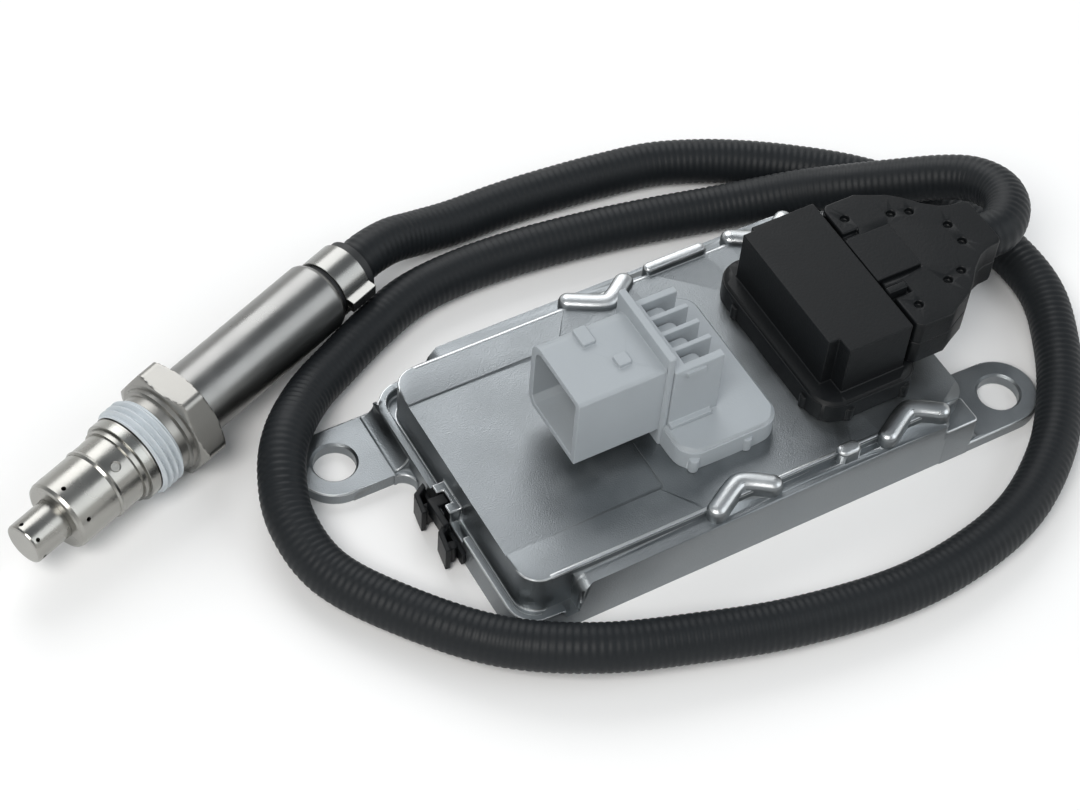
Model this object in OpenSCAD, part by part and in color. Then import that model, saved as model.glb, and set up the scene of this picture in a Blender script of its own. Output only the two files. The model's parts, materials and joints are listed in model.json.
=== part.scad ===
// Nitrogen oxide sensor for an exhaust line: a flat die-cast control unit with two
// connectors, a ribbed cable sleeve and a screw-in probe that lies beside the unit.
// Millimetres. The origin is the middle of the control unit's base, +X runs along its
// long side, +Y to its back, +Z up. The probe's tip points away along -X.

/* [Control unit] */
// Length of the cast base, without its ears
body_l = 108; // [100:0.5:118]
// Width of the cast base
body_w = 65.6; // [62:0.2:70]
// How far the base's middle lies behind the connectors' middle
body_shift = 1; // [0:0.1:1.4]
// Outer corner radius of the base
body_r = 6; // [4:0.5:8]
// Height of the rim at the base's ends
rim_h = 7; // [6.4:0.1:7.6]
// Width of the rim
rim_w = 1.7; // [1.2:0.1:2.2]
// Depth of the groove inside the rim
groove_depth = 2.4; // [1:0.1:3]
// How far the ledges along the long sides lie below the panel
ledge_drop = 1.6; // [1.2:0.1:2.4]
// Height of the raised top panel
panel_h = 14.8; // [14:0.1:16.4]
// Width of the ledges beside the panel
ledge_w = 3.5; // [2.5:0.1:4.2]
// Thickness of the panel
wall = 2.2; // [1.6:0.1:2.6]
// Depth of the shallow recess in the panel
recess_depth = 0.4; // [0.2:0.1:0.8]

/* [Ears and base plate] */
// Distance of each ear's hole from the unit's middle, along the long side
ear_x = 67; // [65:0.5:72]
// Distance of each ear's hole from the unit's middle line, across
ear_y = 23.4; // [20:0.2:24.4]
// Radius of an ear's round end
ear_r = 8.5; // [7.5:0.1:9.5]
// Thickness of an ear
ear_t = 3.1; // [2.5:0.1:4]
// Radius of an ear's screw hole
ear_hole_r = 4.5; // [3.5:0.1:5]
// Thickness of the base plate
plate_t = 2; // [1.8:0.1:2.4]

/* [Connectors] */
// Thickness of both connector flanges
flange_t = 5.7; // [4.5:0.1:6.4]
// Middle of the grey connector's flange, along the unit
grey_x = 1.2; // [-1:0.1:3]
// Outside width and height of the grey connector's open shroud
shroud_w = 18.6; // [17:0.1:20]
// Length of the shroud
shroud_l = 19.6; // [16:0.2:22]
// Wall of the shroud
shroud_wall = 1.5; // [1.2:0.1:2]
// Front face of the black header's block, towards the shroud
header_x = 24; // [23:0.1:25]
// Half the width of the black header's block
header_half_w = 18.6; // [17:0.1:20]
// Height of the black header's block above its flange
header_h = 12.9; // [12.4:0.1:14]
// Half the thickness of the plug
plug_half_t = 6; // [5.6:0.1:6.2]
// Length of the plug behind the gap to the header
plug_l = 29.2; // [28:0.2:32]
// Half the width of the plug
plug_half_w = 18.3; // [17.8:0.1:18.8]

/* [Probe] */
// Middle of the hexagon's front face, along the unit
probe_x = -96.6; // [-104:0.2:-94]
// Middle of the hexagon's front face, across the unit
probe_y = 41.5; // [40:0.5:46]
// Turn of the probe about the vertical
probe_turn = 22; // [20:0.5:26]
// Width of the hexagon across its flats
hex_af = 22; // [21:0.5:24]
// Length of the hexagon
hex_l = 6.4; // [5:0.1:9]
// Outer radius of the thread
thread_r = 10; // [9.6:0.1:10.2]
// Length of the threaded part
thread_l = 5.8; // [4:0.1:6.2]
// Radius of the steel sleeve behind the hexagon
sleeve_r = 8; // [7.8:0.05:8.2]
// Length of the steel sleeve behind the hexagon's front face
sleeve_l = 47.5; // [42:0.5:52]
// Radius of the outer shield
shield_r = 7.7; // [7.2:0.05:7.8]
// Radius of the tip tube
tip_r = 4.5; // [4:0.1:5]
// Running gap between the nut and what it turns on
nut_gap = 0.3; // [0.2:0.05:0.4]

/* [Cable] */
// Outer diameter of the cable's ribbed sleeve
cable_d = 10; // [9:0.1:10.4]

/* [Hidden] */

$fn = 64;
e = 0.01;      // overrun of a cut past the face it opens
fit = 0.05;    // gap round a piece that is pushed into its seat

// Control unit, worked out from the sizes above
end_x = body_l / 2;
side_y = body_w / 2;
panel_left = -end_x + 2.9;
panel_right = end_x - 0.9;
panel_y = side_y - ledge_w;
panel_r = body_r - 1;
ceiling = panel_h - wall;              // underside of the panel
cavity_left = panel_left + wall + 0.2;
cavity_right = panel_right - wall - 0.3;
cavity_y = panel_y - wall;
plate_x = end_x - 2.2;                 // half length of the base plate
plate_y = side_y - 2.3;
seal_w = 1.6;
seal_h = 0.9;
board_z = 5;                           // underside of the circuit board
board_t = 1.6;
board_top = board_z + board_t;
ledge_h = panel_h - ledge_drop;
boss_r = 3.2;
boss_xs = [cavity_left + 6, cavity_right - 6];
boss_y = cavity_y - 4;
post_r = 2.4;
post_xs = [cavity_left + 20, cavity_right - 19];
post_y = cavity_y - 3;
screw_r = 1.5;
head_r = 3;
head_sink = 0.25;                      // from the plate's face down to a screw's head
head_top = 1.3;
small_screw_r = 1.1;

// Grey connector
grey_w = 23.2;
grey_y = 18.7;                         // half length of the grey flange
flange_top = panel_h + flange_t;
shroud_back = -11;                     // face of the standing plate that the shroud meets
shroud_front = shroud_back - shroud_l;
shroud_top = flange_top + 17.5;
shroud_z = shroud_top - shroud_w;
plate_rise = 3.4;                      // standing plate above the shroud
stand_t = 1.7;
rib_top = shroud_top - 1;
rib_n = 5;
rib_pitch = 4.4;
rib_t = 1.1;
rib_floor = rib_top - 6.6;
block_right = 2;
pin_w = 1;                             // square section of a connector pin
// Height of each row of pins, and where its legs turn down
vehicle_rows = [[flange_top + 5.1, -4], [flange_top + 8.9, 0]];
vehicle_ys = [-3.4, 3.4];

// Black header and plug
black_left = 20.6;
black_right = 45.6;
black_y = 21.6;
header_top = flange_top + header_h;
mouth_x = 41.9;                        // where the header's block ends
mouth_gap = 1.3;                       // from there to the plug's shell
cave_x = 30;                           // floor of the header's socket
cave_y = header_half_w - 2.1;
plug_z = flange_top + 6.1;             // height of the plug's middle
cave_half_z = 4.5;
nose_gap = 0.2;
nose_end = mouth_x + mouth_gap + 2.6;  // back of the plug's nose, inside its shell
plug_x = mouth_x + mouth_gap;
plug_end = plug_x + plug_l;
neck_half_w = 6.6;
neck_bore = 3.6;
plug_y = -0.8;                         // the plug's shell sits a little to the front
plug_wall = 1.7;
plug_top = plug_z + plug_half_t;
latch_ys = [-5.4, 6.8];                // sides of the latch plate
slot_depth = 1.2;
plug_ys = [-12, -4, 4, 12];
plug_rows = [-2, 2];                   // rows above and below the plug's middle
terminal_w = 2.6;
header_pin = 0.7;

// Probe stations along its axis, from the hexagon's front face; the tip is negative
probe_z = hex_af / 2;
washer_l = 1;
relief_l = 2.4;
thread_back = -washer_l - relief_l;
nut_front = thread_back - thread_l;
collar_back = nut_front - nut_gap;
ring_front = collar_back - 2.4;
collar_front = ring_front - 1.2;
spigot_front = collar_front - 6.3;
shield_front = spigot_front - 10.2;
tip_front = shield_front - 8.6;
collar_r = 9.1;
spigot_r = shield_r + 0.25;
body_bore = 5.4;
shield_wall = 0.7;
sleeve_wall = 0.8;
sleeve_start = -2;
packing = [spigot_front - 1, spigot_front + 7, spigot_front + 13, 4];
blade = [4, 1.2];
blade_front = shield_front - 2.6;
blade_back = 14;
holder = [15, 27];
holder_r = 5.8;
grommet_front = sleeve_l - 4;
grommet_end = sleeve_l + 10;
grommet_r = 6.4;
band_t = 0.6;
band_l = 7;
band_s = sleeve_l + 1;
lead_ring = 3;
lead_r = 0.7;
lead_n = 6;

// Route of the cable, from the probe's grommet to the plug
route = [
    [-43.1, 63.12, 11], [-38.4, 65.02, 11], [-32, 67.2, 9.6], [-25, 68.6, 7.2], [-16, 69.2, 5.5],
    [-3, 69.4, 5.1], [9, 68.6, 5.1], [21, 67.3, 5.1], [33, 65.3, 5.1], [43.5, 61.3, 5.1],
    [52, 56.8, 5.1], [61.5, 50.5, 5.1], [72, 42, 5.1], [81, 31.7, 5.1], [87.5, 19.7, 5.1],
    [91, 7.4, 5.1], [90.6, -6, 5.1], [85, -19, 5.1], [77, -31.2, 5.1], [66.2, -42.6, 5.1],
    [52, -51.6, 5.1], [36, -56, 5.1], [18, -57, 5.1], [-4, -54, 5.6], [-24, -48.8, 6.6],
    [-43, -42.2, 7.4], [-59, -31.6, 6.6], [-72, -16.2, 5.6], [-80.6, -2, 5.6], [-82.4, 11, 7.2],
    [-79.6, 21.4, 8.7], [-74.4, 30, 8.8], [-65.5, 39, 6.2], [-55.3, 45.2, 5.1], [-44.2, 50.6, 5.1],
    [-33.5, 54.6, 5.1], [-21, 56, 5.1], [-6, 55.4, 5.1], [12, 53, 5.1], [26, 50.3, 5.1],
    [38, 47.4, 5.3], [48, 44.2, 6.6], [57, 40.2, 8.9], [65.5, 34.4, 12.3], [73, 28.4, 16],
    [79.9, 22.7, 19.4], [84.4, 17.6, 21.8], [86, 11.7, 23.8], [85, 6.6, 25.1], [82.1, 2.5, 26],
    [77.7, -0.5, 26.55], [72.75, -0.8, 26.6]
];
rings_per_leg = 1.5;
cable_sides = 10;

// Flat shape with rounded corners, its low corner at [x0, y0] and its high one at [x1, y1]
module rounded(x0, y0, x1, y1, r) {
    hull_free = [[x0 + r, y0], [x1 - r, y0], [x1, y0 + r], [x1, y1 - r], [x1 - r, y1],
        [x0 + r, y1], [x0, y1 - r], [x0, y0 + r]];
    polygon(hull_free);
    for (x = [x0 + r, x1 - r])
        for (y = [y0 + r, y1 - r])
            translate([x, y]) circle(r);
}

// The same shape, raised from z0 to z1
module slab(x0, y0, x1, y1, r, z0, z1) {
    translate([0, 0, z0]) linear_extrude(z1 - z0) rounded(x0, y0, x1, y1, r);
}

// A box from one corner to the other
module span(low, high) {
    translate(low) cube(high - low);
}

// Places its children in the base's frame, which lies a little behind the connectors
module in_body() {
    translate([0, body_shift, 0]) children();
}

// Places its children in the probe's frame, with +X from the tip towards the cable
module at_probe() {
    translate([probe_x, probe_y, probe_z]) rotate([0, 0, probe_turn]) children();
}

// Turns a profile of [station, radius] points about the probe's axis
module turned(profile) {
    rotate([0, 90, 0]) rotate_extrude() polygon([for (p = profile) [p[1], p[0]]]);
}

// Tube between two stations
module tube_piece(s0, s1, outer, inner) {
    turned([[s0, inner], [s0, outer], [s1, outer], [s1, inner]]);
}

// Flat bar with round ends between two points; its sides meet the ends at a clear angle
module bar(a, b, r) {
    d = b - a;
    n = (r - 0.05) * [-d[1], d[0]] / norm(d);
    polygon([a + n, a - n, b - n, b + n]);
    translate(a) circle(r);
    translate(b) circle(r);
}

// One bent bead of the casting, with its bow towards the panel's middle on the given side
module bead(x, side) {
    path = [[-6.7, 1.7], [-0.5, -1.7], [2.2, -1.6], [6.6, 1.3]];
    layers = [[1.8, -2.4, 0.5], [1.45, 0.4, 1], [0.9, 0.9, 1.4]];
    for (l = layers)
        translate([x, body_shift + side * (panel_y - 0.9), panel_h + l[1]]) linear_extrude(l[2] - l[1])
            for (i = [0:2])
                bar([path[i][0], side * path[i][1]], [path[i + 1][0], side * path[i + 1][1]], l[0]);
}

// Middle of each bead along the unit, and the side it is on
bead_places = [[-2, -1], [39, -1], [-1.8, 1], [38.5, 1]];

module ear_plate(sx) {
    root_x = end_x - 1;
    difference() {
        scale_x(sx) {
            slab(root_x, -ear_y - ear_r, ear_x, -ear_y + ear_r, e, 0, ear_t);
            translate([ear_x, -ear_y, 0]) cylinder(r = ear_r, h = ear_t);
            translate([end_x - 0.5, -ear_y + ear_r - 0.6, 0]) rotate([90, 0, 0])
                linear_extrude(2 * ear_r - 1.2) ear_fillet(rim_h - ear_t - 0.8);
            translate([end_x - 0.5, -ear_y + ear_r - 0.5, 0]) linear_extrude(ear_t) ear_fillet(3.4, 0.5);
        }
        scale_x(sx) {
            translate([ear_x, -ear_y, -e]) cylinder(r = ear_hole_r, h = ear_t + 2 * e);
            translate([ear_x, -ear_y, ear_t - 0.5])
                cylinder(r1 = ear_hole_r, r2 = ear_hole_r + 0.5, h = 0.5 + e);
        }
    }
}

// Concave fillet of radius r in the corner between a wall and what stands out from it
module ear_fillet(r, low = ear_t) {
    lip = 0.25;
    difference() {
        translate([0, low - 0.5]) square([r + lip + 0.5, r + 0.5 + lip]);
        translate([r + lip + 0.5, low + r + lip]) circle(r);
    }
}

// Turns its children half round for the left ear, or leaves them for the right one
module scale_x(sx) {
    rotate([0, 0, sx > 0 ? 0 : 180]) children();
}

module cast_outline() {
    difference() {
        slab(-end_x, -side_y, end_x, side_y, body_r, 0, rim_h);
        groove_cut();
    }
    difference() {
        slab(-end_x + 13, -side_y, end_x - 7.5, side_y, 1, 0, ledge_h);
        bevel_cut(1);
        bevel_cut(-1);
    }
    slab(end_x - 20, -side_y, end_x, side_y, body_r, 0, ledge_h - 4.4);
    slab(end_x - 20, -side_y + 1.8, end_x - 3, side_y - 1.8, 3, 0, ledge_h - 2.4);
    slab(panel_left, -panel_y, panel_right, panel_y, panel_r, 0, panel_h);
}

// Groove between the rim and the panel, open to the sides before the ledges begin
module groove_cut() {
    inner = body_r - rim_w;
    difference() {
        translate([0, 0, rim_h - groove_depth]) linear_extrude(groove_depth + e)
            rounded(-end_x + rim_w, -side_y + rim_w, end_x, side_y - rim_w, inner);
        slab(panel_left, -panel_y, panel_right, panel_y, panel_r, 0, rim_h + 1);
    }
    translate([-end_x + 10, -side_y - 1, rim_h - groove_depth]) cube([3.2, 2 * side_y + 2, groove_depth + e]);
}

// Slanting left end of a ledge
module bevel_cut(side) {
    translate([-end_x + 13, side * side_y, ledge_h]) rotate([0, 40, 0]) cube([4, 5, 12], center = true);
}

module housing() {
    color("lightgray") difference() {
        union() {
            in_body() cast_outline();
            ear_plate(1);
            ear_plate(-1);
            clip_bracket();
            for (b = bead_places)
                bead(b[0], b[1]);
            lug(10, 25.2, body_shift + panel_y + 0.8, 2.7);
            lug(20.2, 25.4, body_shift - panel_y - 0.3, 3.2);
        }
        in_body() {
            slab(cavity_left, -cavity_y, cavity_right, cavity_y, 3, -e, ceiling);
            slab(-plate_x - fit, -plate_y - fit, plate_x + fit, plate_y + fit, 4, -e, plate_t);
            slab(-plate_x + 0.8, -plate_y + 0.8, plate_x - 0.8, plate_y - 0.8, 3.4, 0, plate_t + seal_h);
        }
        panel_cuts();
        clip_slot();
    }
    color("lightgray") in_body() {
        difference() {
            seal_land();
            seal_ring_solid(0);
            slab(cavity_left, -cavity_y, cavity_right, cavity_y, 3, 0, 6);
        }
        bosses();
    }
}

// Straight lug on the panel's edge between x0 and x1, with a rounded top
module lug(x0, x1, y, w) {
    slab(x0, y - w / 2, x1, y + w / 2, 1.25, ledge_h - 1, panel_h + 0.7);
    slab(x0 + 0.4, y - w / 2 + 0.4, x1 - 0.4, y + w / 2 - 0.4, 0.85, ledge_h - 1, panel_h + 1.4);
}

// Land that carries the base plate, put back round the seal's groove
module seal_land() {
    slab(-plate_x + 0.8, -plate_y + 0.8, plate_x - 0.8, plate_y - 0.8, 3.4, plate_t, plate_t + seal_h);
}

// Shallow recess for a label, and the two openings under the connectors
module panel_cuts() {
    difference() {
        slab(panel_left - 1, -19.6, -15, 21.8, 1.2, panel_h - recess_depth, panel_h + 1);
        span([panel_left - 2, 21.8, 0], [0, 30, 20]);
    }
    slab(grey_x - 7, -13, grey_x + 7, 13, 2, ceiling - 1, panel_h + 1);
    slab(27, -15, 37.4, 15, 2, ceiling - 1, panel_h + 1);
}

// Bosses for the base screws and posts for the board, under the panel
module bosses() {
    for (x = boss_xs)
        for (y = [-boss_y, boss_y])
            translate([x, y, 0]) difference() {
                translate([0, 0, plate_t]) cylinder(r = boss_r, h = ceiling - plate_t + 0.1);
                translate([0, 0, plate_t - e]) cylinder(r = screw_r, h = 7);
            }
    for (x = post_xs)
        for (y = [-post_y, post_y])
            translate([x, y, 0]) difference() {
                translate([0, 0, board_top]) cylinder(r = post_r, h = ceiling - board_top + 0.1);
                translate([0, 0, board_top - e]) cylinder(r = small_screw_r, h = 4.6);
            }
}

// Raised bracket in the left rim, where the side clip hooks in
module clip_bracket() {
    span([-end_x, -2, rim_h - 3], [panel_left + 0.5, 5.8, 8.6]);
}

module clip_slot() {
    span([-end_x - 1, 0.4, 5], [-end_x + 1.6, 3.6, 9]);
    span([-end_x - 1, -7.4, 5.2], [-end_x + rim_w + e, -2, 9]);
}

module base_plate() {
    color("silver") in_body() difference() {
        slab(-plate_x, -plate_y, plate_x, plate_y, 4, 0, plate_t);
        for (x = boss_xs)
            for (y = [-boss_y, boss_y])
                translate([x, y, 0]) {
                    translate([0, 0, -e]) cylinder(r = head_r + fit, h = head_top + e);
                    translate([0, 0, 0]) cylinder(r = screw_r + 0.1, h = 3);
                }
    }
}

module seal_ring_solid(gap) {
    difference() {
        slab(-plate_x + 1.2 - gap, -plate_y + 1.2 - gap, plate_x - 1.2 + gap, plate_y - 1.2 + gap, 3,
            plate_t, plate_t + seal_h + gap);
        slab(-plate_x + 1.2 + seal_w, -plate_y + 1.2 + seal_w, plate_x - 1.2 - seal_w,
            plate_y - 1.2 - seal_w, 1.6, plate_t - 1, plate_t + seal_h + 1);
    }
}

module base_seal() {
    color("dimgray") in_body() seal_ring_solid(0);
}

module base_screws() {
    color("gray") in_body()
        for (x = boss_xs)
            for (y = [-boss_y, boss_y])
                translate([x, y, 0]) difference() {
                    union() {
                        translate([0, 0, head_sink]) cylinder(r = head_r, h = head_top - head_sink);
                        translate([0, 0, head_sink]) cylinder(r = screw_r - fit, h = 7);
                    }
                    translate([0, 0, head_sink - e]) cylinder(r = 1.2, h = 0.8, $fn = 6);
                }
}

module circuit_board() {
    color("darkgreen") difference() {
        in_body()
            slab(cavity_left + 0.6, -cavity_y + 0.6, cavity_right - 0.6, cavity_y - 0.6, 2, board_z, board_top);
        for (x = boss_xs)
            for (y = [-boss_y, boss_y])
                translate([x, body_shift + y, 0]) cylinder(r = boss_r + 0.4, h = 20);
        for (x = post_xs)
            for (y = [-post_y, post_y])
                translate([x, body_shift + y, 0]) cylinder(r = small_screw_r + 0.2, h = 20);
        vehicle_legs(fit);
        header_legs(fit);
    }
}

module board_screws() {
    color("gray") in_body()
        for (x = post_xs)
            for (y = [-post_y, post_y])
                translate([x, y, 0]) {
                    translate([0, 0, board_z - 1.4]) cylinder(r = 2, h = 1.4);
                    translate([0, 0, board_z - 1]) cylinder(r = small_screw_r - fit, h = 5);
                }
}

// Chips under the board: middle from the board's left end and middle line, and width
chips = [[19, -3, 14], [34, 9, 8], [34, -12, 7], [60, -14, 8]];

module board_chips() {
    color("black") in_body() {
        for (c = chips)
            translate([cavity_left + c[0], c[1], board_z - 0.7]) cube([c[2], c[2], 1.4], center = true);
        for (i = [0:4])
            translate([cavity_left + 9 + 4.4 * i, 15, board_top + 0.6]) cube([3, 1.8, 1.2], center = true);
    }
}

module thermal_pads() {
    color("lightblue") in_body()
        for (c = [chips[0], chips[3]])
            translate([cavity_left + c[0], c[1], plate_t]) linear_extrude(board_z - 1.4 - plate_t)
                square(c[2] - 1, center = true);
}

module capacitors() {
    color("darkslategray") in_body()
        for (p = [[10, -8], [10, 4], [29, 9], [29, -3]])
            translate([cavity_left + p[0], p[1], board_top]) {
                cylinder(r = 3, h = ceiling - board_top - 1);
                span([-3.2, -3.2, 0], [3.2, 3.2, 0.6]);
            }
}

// Spring clip: a flat back, two bent leaves with a peg behind each, and a hook over the rim
module side_clip() {
    color([0.1, 0.1, 0.11]) translate([-end_x - fit, 0, 0]) {
        span([-1, -9.6, 1], [0, 8.2, 4.6]);
        for (y = [0, -10.4])
            translate([0, y, 0]) {
                translate([0, 0, 0.8]) linear_extrude(6.4)
                    polygon([[-0.6, 8.2], [-3.6, 6.4], [-4.4, 1.4], [-3.3, 1.2], [-2.6, 5.6], [-0.6, 6.9]]);
                translate([-2, 3.4, 0.8]) cylinder(r = 1.1, h = 4.6);
                span([-2, 2.9, 1.4], [-0.5, 3.9, 4]);
            }
        span([-2.3, -3.9, 4.4], [-0.9, 3.3, 8.2]);
        span([-2.3, 0.9, 7], [1.4, 3.2, 8.2]);
        span([0.4, 0.9, 5.2], [1.4, 3.2, 8.2]);
        span([-2.3, -3.9, 1.4], [-0.5, -2.5, 6]);
    }
}

// Flange of a connector, with small feet along its edge and a rounded top edge
module flange(x0, x1, half_y, r, feet) {
    step = 0.7;
    slab(x0, -half_y, x1, half_y, r, panel_h, flange_top - step);
    slab(x0 + step / 2, -half_y + step / 2, x1 - step / 2, half_y - step / 2, r - step / 2,
        panel_h, flange_top - step / 3);
    slab(x0 + step, -half_y + step, x1 - step, half_y - step, r - step, panel_h, flange_top);
    for (f = feet)
        translate([f[0], f[1], panel_h]) cylinder(r = 1.1, h = flange_t - 2.2);
}

grey_left = grey_x - grey_w / 2;
grey_right = grey_x + grey_w / 2;

module vehicle_connector() {
    feet = [[grey_left + 2.6, -grey_y + 0.5], [grey_left + 15, -grey_y + 0.4],
        [grey_left + 2.6, grey_y - 0.5], [grey_left + 15, grey_y - 0.4]];
    color([0.69, 0.71, 0.73]) difference() {
        union() {
            flange(grey_left, grey_right, grey_y, 4.6, feet);
            slab(grey_x - 6.9, -12.8, grey_x + 6.9, 12.8, 2, board_top + 2.5, panel_h + 1);
            slab(shroud_back, -9.9, shroud_back + stand_t, 10.4, 0.6, panel_h, shroud_top + plate_rise);
            rib_block();
            shroud();
            key_pad(-21.4, 5.2, 3, 4.6);
            key_pad(-17.6, -3.2, 3, 3);
        }
        vehicle_pin_set(fit);
        slab(grey_left + 1.6, -grey_y + 1.6, grey_right - 1.6, grey_y - 1.6, 3.2, panel_h - e, panel_h + 0.8);
        slab(grey_x - 5.2, -11, grey_x + 5.2, 11, 1.4, board_top + 2.4, board_top + 5);
    }
    color([0.69, 0.71, 0.73]) difference() {
        slab(grey_left + 3.2, -grey_y + 3.2, grey_right - 3.2, grey_y - 3.2, 1.6, panel_h, panel_h + 0.9);
        vehicle_pin_set(fit);
    }
}

module key_pad(x, y, w, l) {
    translate([x, y, shroud_top - 0.2]) linear_extrude(1.1) rounded(-w / 2, -l / 2, w / 2, l / 2, 0.5);
}

// Open shroud towards -X, with one well rounded corner
module shroud() {
    difference() {
        translate([shroud_front, 0, 0]) rotate([90, 0, 90]) linear_extrude(shroud_l + 0.2)
            shroud_outline(0);
        translate([shroud_front - 1, 0, 0]) rotate([90, 0, 90]) linear_extrude(shroud_l - 0.4)
            shroud_outline(shroud_wall);
    }
}

module shroud_outline(inset) {
    half = shroud_w / 2 - inset;
    low = shroud_z + inset;
    high = shroud_top - inset;
    big = 3.4 - inset * 0.4;
    small = 1.8 - inset * 0.4;
    polygon([[-half, low], [half - small, low], [half, low + small], [half, high - big],
        [half - big, high], [-half + 0.8, high], [-half, high - 0.8]]);
    translate([half - big, high - big]) circle(big);
    translate([-half + 0.8, high - 0.8]) circle(0.8);
}

// Block behind the standing plate: five ribs with a rounded tongue in each pocket
module rib_block() {
    first = -rib_pitch * (rib_n - 1) / 2 - 0.2;
    x0 = shroud_back + stand_t - 0.1;
    difference() {
        union() {
            span([x0, -10.2, panel_h + 1], [block_right, 9.6, rib_top]);
            span([x0, -11.4, panel_h + 1], [grey_x - 1, -10, flange_top + 1]);
        }
        for (i = [0:rib_n - 2])
            translate([0, first + i * rib_pitch + rib_t / 2, 0])
                span([x0 + 3, 0, rib_floor], [block_right + 1, rib_pitch - rib_t, rib_top + 1]);
    }
    for (i = [0:rib_n - 2])
        translate([x0 + 2.9, first + (i + 0.5) * rib_pitch, rib_floor - 0.1]) {
            span([0, -1.3, 0], [3.4, 1.3, rib_top - rib_floor - 2]);
            translate([3.4, 0, 0]) cylinder(r = 1.3, h = rib_top - rib_floor - 2);
        }
    span([-6.7, -10.7, rib_top - 2.2], [-2.3, -10, rib_top - 1]);
}

module vehicle_pin_set(gap) {
    w = pin_w / 2 + gap;
    for (row = vehicle_rows)
        for (y = vehicle_ys) {
            span([shroud_front + 7 - gap, y - w, row[0] - w], [row[1] + w, y + w, row[0] + w]);
            span([row[1] - w, y - w, board_z - 0.9], [row[1] + w, y + w, row[0] + w]);
        }
}

module vehicle_legs(gap) {
    vehicle_pin_set(gap);
}

module vehicle_pins() {
    color("gold") vehicle_pin_set(0);
}

module flange_seal(x0, x1, half_y) {
    difference() {
        slab(x0 + 1.6 + fit, -half_y + 1.6 + fit, x1 - 1.6 - fit, half_y - 1.6 - fit, 3.2,
            panel_h, panel_h + 0.8);
        slab(x0 + 3.2, -half_y + 3.2, x1 - 3.2, half_y - 3.2, 1.6, panel_h - 1, panel_h + 2);
    }
}

module vehicle_connector_seal() {
    color("orangered") flange_seal(grey_left, grey_right, grey_y);
}

module header_seal() {
    color("orangered") flange_seal(black_left, black_right, black_y);
}

module sensor_header() {
    feet = [[black_left + 0.4, 12], [black_left + 0.4, -14.5], [27.4, -black_y + 0.4],
        [41, -black_y + 0.4], [27.4, black_y - 0.4], [41, black_y - 0.4]];
    color([0.1, 0.11, 0.12]) difference() {
        union() {
            flange(black_left, black_right, black_y, 6, feet);
            slab(27.2, -14.8, 37.2, 14.8, 2, board_top + 2.5, panel_h + 1);
            span([header_x + 2.6, -header_half_w, panel_h + 1], [mouth_x, header_half_w, header_top]);
            span([header_x, -header_half_w + 3.8, panel_h + 1], [mouth_x, header_half_w - 1, header_top]);
        }
        span([cave_x, -cave_y, plug_z - cave_half_z], [mouth_x + 1, cave_y, plug_z + cave_half_z]);
        header_pin_set(fit);
        slab(black_left + 1.6, -black_y + 1.6, black_right - 1.6, black_y - 1.6, 3.2, panel_h - e, panel_h + 0.8);
        slab(28.6, -13, 36, 13, 1.4, board_top + 2.4, board_top + 5);
    }
    color([0.1, 0.11, 0.12]) difference() {
        slab(black_left + 3.2, -black_y + 3.2, black_right - 3.2, black_y - 3.2, 1.6, panel_h, panel_h + 0.9);
        header_pin_set(fit);
    }
}

module header_pin_set(gap) {
    w = header_pin / 2 + gap;
    for (row = [0, 1])
        for (y = plug_ys) {
            leg_x = row == 0 ? 29 : 33 - 5.4;
            z = plug_z + plug_rows[row];
            span([leg_x - w, y - w, z - w], [cave_x + 6, y + w, z + w]);
            span([leg_x - w, y - w, board_z - 0.9], [leg_x + w, y + w, z + w]);
        }
}

module header_legs(gap) {
    header_pin_set(gap);
}

module header_pins() {
    color("gold") header_pin_set(0);
}

// Outline of the plug from above: wide at the header, narrowing to the cable's neck
module plug_outline(inset) {
    w = plug_half_w - inset;
    x0 = plug_x + (inset > 0 ? 2.4 : 0);
    x1 = plug_end - (inset > 0 ? 3 : 0);
    n = neck_half_w - inset;
    half = [[x0, w - 1.2], [x0 + 1.2, w], [plug_x + 8.3, w], [plug_x + 10.8, w - 1.3],
        [plug_x + 14.8, w - 3.2], [plug_x + 17.3, w - 5.4], [plug_x + 19.8, w - 8.2],
        [plug_x + 22.8, n + 1.1], [plug_x + 25.3, n + 0.2], [x1 - 1.2, n], [x1 - 0.3, n - 0.5], [x1, n - 1.6]];
    translate([0, plug_y])
        polygon(concat(half, [for (i = [len(half) - 1:-1:0]) [half[i][0], -half[i][1]]]));
}

module plug_shell() {
    difference() {
        translate([0, 0, plug_z - plug_half_t]) linear_extrude(2 * plug_half_t) plug_outline(0);
        translate([0, 0, plug_z - plug_half_t + plug_wall])
            linear_extrude(2 * (plug_half_t - plug_wall)) plug_outline(plug_wall);
        translate([60, plug_y, plug_z]) rotate([0, 90, 0]) cylinder(r = neck_bore, h = plug_end);
    }
}

// Groove for the seal round the plug's nose, and a channel for each terminal and its wire
module nose_cuts() {
    span([cave_x + 2, -cave_y - 1, plug_z - cave_half_z], [cave_x + 4, cave_y + 1, plug_z - cave_half_z + 1]);
    span([cave_x + 2, -cave_y - 1, plug_z + cave_half_z - 1], [cave_x + 4, cave_y + 1, plug_z + cave_half_z]);
    span([cave_x + 2, -cave_y - 1, plug_z - 6], [cave_x + 4, -cave_y + 1, plug_z + 6]);
    span([cave_x + 2, cave_y - 1, plug_z - 6], [cave_x + 4, cave_y + 1, plug_z + 6]);
    for (row = plug_rows)
        for (y = plug_ys)
            translate([cave_x, y, plug_z + row]) terminal_block(fit, nose_end + 1 - cave_x);
}

module terminal_block(gap, l) {
    w = terminal_w / 2 + gap;
    span([0, -w, -w], [l, w, w]);
}

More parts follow.
